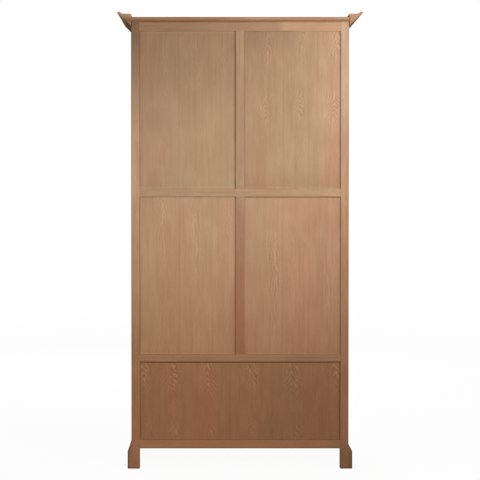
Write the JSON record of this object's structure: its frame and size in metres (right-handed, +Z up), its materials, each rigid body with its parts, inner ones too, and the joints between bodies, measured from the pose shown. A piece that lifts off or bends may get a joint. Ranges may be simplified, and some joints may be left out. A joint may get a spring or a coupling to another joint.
{
  "type": "wardrobe",
  "caption": "Tall wooden wardrobe with two framed doors over two deep drawers, a hanging pole and shelf inside, an upturned top and flared feet.",
  "frame": {"origin": "on the floor, under the middle of the top board", "axes": "+X to the right seen from the front, +Y towards the back (the wall), +Z up; the doors and drawers face -Y"},
  "size_m": [1.076, 0.6, 2],
  "materials": {
    "frame_wood": "satin, straight-grained, pinkish tan, darker towards the feet",
    "panel_wood": "satin, crown-cut veneer with repeating arched figures",
    "inside_wood": "unstained, matt",
    "brass": "aged, half polished"
  },
  "bodies": {
    "carcass": {"front_left_post": "frame_wood", "front_right_post": "frame_wood", "back_left_post": "frame_wood", "back_right_post": "frame_wood", "left_side_top_rail": "frame_wood", "right_side_top_rail": "frame_wood", "left_side_waist_rail": "frame_wood", "right_side_waist_rail": "frame_wood", "left_side_base_rail": "frame_wood", "right_side_base_rail": "frame_wood", "left_side_tall_panel": "panel_wood", "right_side_tall_panel": "panel_wood", "left_side_base_panel": "panel_wood", "right_side_base_panel": "panel_wood", "back_upper_left_panel": "panel_wood", "back_upper_right_panel": "panel_wood", "back_lower_left_panel": "panel_wood", "back_lower_right_panel": "panel_wood", "back_base_panel": "panel_wood", "back_top_rail": "frame_wood", "back_mid_rail": "frame_wood", "back_waist_rail": "frame_wood", "back_bottom_rail": "frame_wood", "back_centre_stile": "frame_wood", "top_board": "frame_wood", "top_left_ear": "frame_wood", "top_right_ear": "frame_wood", "front_top_rail": "frame_wood", "front_waist_rail": "frame_wood", "front_bottom_rail": "frame_wood", "wardrobe_floor": "inside_wood", "base_board": "inside_wood", "drawer_divider": "frame_wood", "hat_shelf": "inside_wood", "left_shelf_cleat": "inside_wood", "right_shelf_cleat": "inside_wood", "hanging_pole": "inside_wood"},
    "left_door": {"left_door_hinge_stile": "frame_wood", "left_door_meeting_stile": "frame_wood", "left_door_top_rail": "frame_wood", "left_door_bottom_rail": "frame_wood", "left_door_panel": "panel_wood", "left_door_plate": "brass"},
    "left_door_drop": {"left_door_pull": "brass"},
    "right_door": {"right_door_hinge_stile": "frame_wood", "right_door_meeting_stile": "frame_wood", "right_door_top_rail": "frame_wood", "right_door_bottom_rail": "frame_wood", "right_door_panel": "panel_wood", "right_door_plate": "brass"},
    "right_door_drop": {"right_door_pull": "brass"},
    "left_drawer": {"left_drawer_front": "panel_wood", "left_drawer_box": "inside_wood", "left_drawer_plate": "brass"},
    "left_drawer_drop": {"left_drawer_pull": "brass"},
    "right_drawer": {"right_drawer_front": "panel_wood", "right_drawer_box": "inside_wood", "right_drawer_plate": "brass"},
    "right_drawer_drop": {"right_drawer_pull": "brass"}
  },
  "joints": [
    {"name": "left_door_hinge", "type": "hinge", "parent": "carcass", "child": "left_door", "pos_m": [-0.4255, -0.253, 0.505], "axis": [0, 0, -1], "range_deg": [0, 95]},
    {"name": "right_door_hinge", "type": "hinge", "parent": "carcass", "child": "right_door", "pos_m": [0.4255, -0.253, 0.505], "axis": [0, 0, 1], "range_deg": [0, 95]},
    {"name": "left_door_pull_swing", "type": "hinge", "parent": "left_door", "child": "left_door_drop", "pos_m": [-0.0265, -0.275, 1.17], "axis": [-1, 0, 0], "range_deg": [0, 85]},
    {"name": "right_door_pull_swing", "type": "hinge", "parent": "right_door", "child": "right_door_drop", "pos_m": [0.0265, -0.275, 1.17], "axis": [-1, 0, 0], "range_deg": [0, 85]},
    {"name": "left_drawer_slide", "type": "slide", "parent": "carcass", "child": "left_drawer", "axis": [0, -1, 0], "range_m": [0, 0.4]},
    {"name": "right_drawer_slide", "type": "slide", "parent": "carcass", "child": "right_drawer", "axis": [0, -1, 0], "range_m": [0, 0.4]},
    {"name": "left_drawer_pull_swing", "type": "hinge", "parent": "left_drawer", "child": "left_drawer_drop", "pos_m": [-0.225, -0.275, 0.318], "axis": [-1, 0, 0], "range_deg": [0, 85]},
    {"name": "right_drawer_pull_swing", "type": "hinge", "parent": "right_drawer", "child": "right_drawer_drop", "pos_m": [0.225, -0.275, 0.318], "axis": [-1, 0, 0], "range_deg": [0, 85]}
  ]
}
